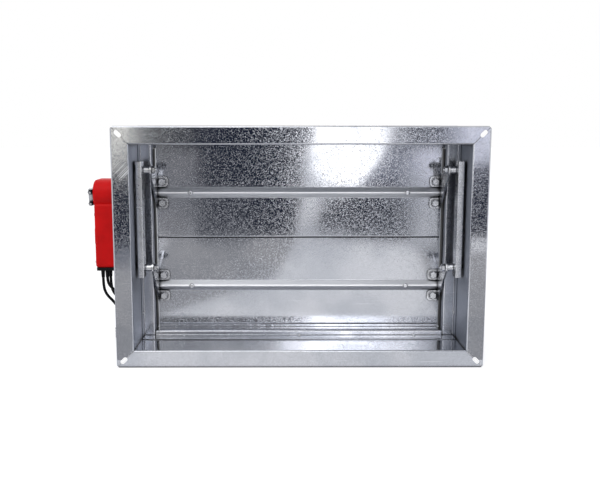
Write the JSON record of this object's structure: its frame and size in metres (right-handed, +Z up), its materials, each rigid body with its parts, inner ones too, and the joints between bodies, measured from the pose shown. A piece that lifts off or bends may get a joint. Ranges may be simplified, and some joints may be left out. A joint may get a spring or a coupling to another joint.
{
  "type": "fire damper",
  "caption": "Rectangular galvanised duct fire damper with flanged casing, ridged parallel blades, side link bars and a red spring-return actuator.",
  "frame": {"origin": "middle of the front opening, in the front flange's face, on the duct's axis", "axes": "+X to the right seen from the front, +Y into the duct, +Z up"},
  "size_m": [0.794, 0.3, 0.47],
  "materials": {
    "galvanised_sheet": "galvanised sheet steel with a fine spangle",
    "zinc_plated_steel": "bright zinc plate",
    "stainless_strip": "drawn stainless steel",
    "seal_strip": "dark graphite seal strip",
    "black_steel": "black oxide",
    "bearing_bronze": "sintered bronze",
    "red_housing": "moulded red plastic with a fine grain",
    "black_plastic": "moulded black plastic",
    "grey_button": "smooth grey plastic",
    "cable_sheath": "black cable sheath"
  },
  "bodies": {
    "casing": {"actuator_bracket": "zinc_plated_steel", "actuator_end_cap": "black_plastic", "actuator_housing": "red_housing", "actuator_screws": "zinc_plated_steel", "bracket_screws": "zinc_plated_steel", "cable_grommets": "cable_sheath", "casing_bottom": "galvanised_sheet", "casing_left": "galvanised_sheet", "casing_right": "galvanised_sheet", "casing_top": "galvanised_sheet", "coil_tie": "black_plastic", "frame_rivets": "zinc_plated_steel", "head_stop": "galvanised_sheet", "jamb_left": "galvanised_sheet", "jamb_right": "galvanised_sheet", "sensor_housing": "black_plastic", "sensor_lead": "cable_sheath", "sensor_probe": "stainless_strip", "sensor_screws": "zinc_plated_steel", "shaft_bearings": "bearing_bronze", "side_seal_left": "seal_strip", "side_seal_right": "seal_strip", "sill_stop": "galvanised_sheet", "supply_cable": "cable_sheath", "supply_coil": "cable_sheath", "switch_cable": "cable_sheath", "switch_coil": "cable_sheath"},
    "upper_blade": {"blade_upper": "galvanised_sheet", "shaft_upper": "zinc_plated_steel", "ridge_screws_upper": "zinc_plated_steel", "crank_upper_left": "zinc_plated_steel", "crank_upper_right": "zinc_plated_steel", "crank_bolts_upper": "zinc_plated_steel", "crank_nuts_upper": "zinc_plated_steel", "pivot_bolts_upper": "zinc_plated_steel", "pivot_nuts_upper": "zinc_plated_steel", "pivot_spacers_upper": "zinc_plated_steel", "drive_hub": "black_plastic", "clamp_u_bolt": "black_steel", "clamp_saddle": "black_steel", "clamp_nuts": "black_steel"},
    "lower_blade": {"blade_lower": "galvanised_sheet", "shaft_lower": "zinc_plated_steel", "ridge_screws_lower": "zinc_plated_steel", "crank_lower_left": "zinc_plated_steel", "crank_lower_right": "zinc_plated_steel", "crank_bolts_lower": "zinc_plated_steel", "crank_nuts_lower": "zinc_plated_steel", "pivot_bolts_lower": "zinc_plated_steel", "pivot_nuts_lower": "zinc_plated_steel", "pivot_spacers_lower": "zinc_plated_steel"},
    "left_link": {"link_bar_left": "zinc_plated_steel"},
    "right_link": {"link_bar_right": "zinc_plated_steel"},
    "test_button": {"sensor_button": "grey_button"}
  },
  "joints": [
    {"name": "upper_blade_turn", "type": "hinge", "parent": "casing", "child": "upper_blade", "pos_m": [0, 0.15, 0.098], "axis": [1, 0, 0], "range_deg": [0, 90], "stiffness_Nm_per_rad": 1.5, "springref_deg": -114.59},
    {"name": "lower_blade_turn", "type": "hinge", "parent": "casing", "child": "lower_blade", "pos_m": [0, 0.15, -0.098], "axis": [1, 0, 0], "range_deg": [0, 90]},
    {"name": "left_link_pivot", "type": "hinge", "parent": "upper_blade", "child": "left_link", "pos_m": [-0.3155, 0.07, 0.149], "axis": [1, 0, 0], "range_deg": [-90, 0]},
    {"name": "right_link_pivot", "type": "hinge", "parent": "upper_blade", "child": "right_link", "pos_m": [0.3155, 0.07, 0.149], "axis": [1, 0, 0], "range_deg": [-90, 0]},
    {"name": "test_button_push", "type": "slide", "parent": "casing", "child": "test_button", "axis": [1, 0, 0], "range_m": [0, 0.002], "stiffness_N_per_m": 400, "springref_m": -0.001}
  ],
  "couplings": [
    {"joint": "lower_blade_turn", "follows": "upper_blade_turn", "ratio": 1},
    {"joint": "left_link_pivot", "follows": "upper_blade_turn", "ratio": -1},
    {"joint": "right_link_pivot", "follows": "upper_blade_turn", "ratio": -1}
  ]
}
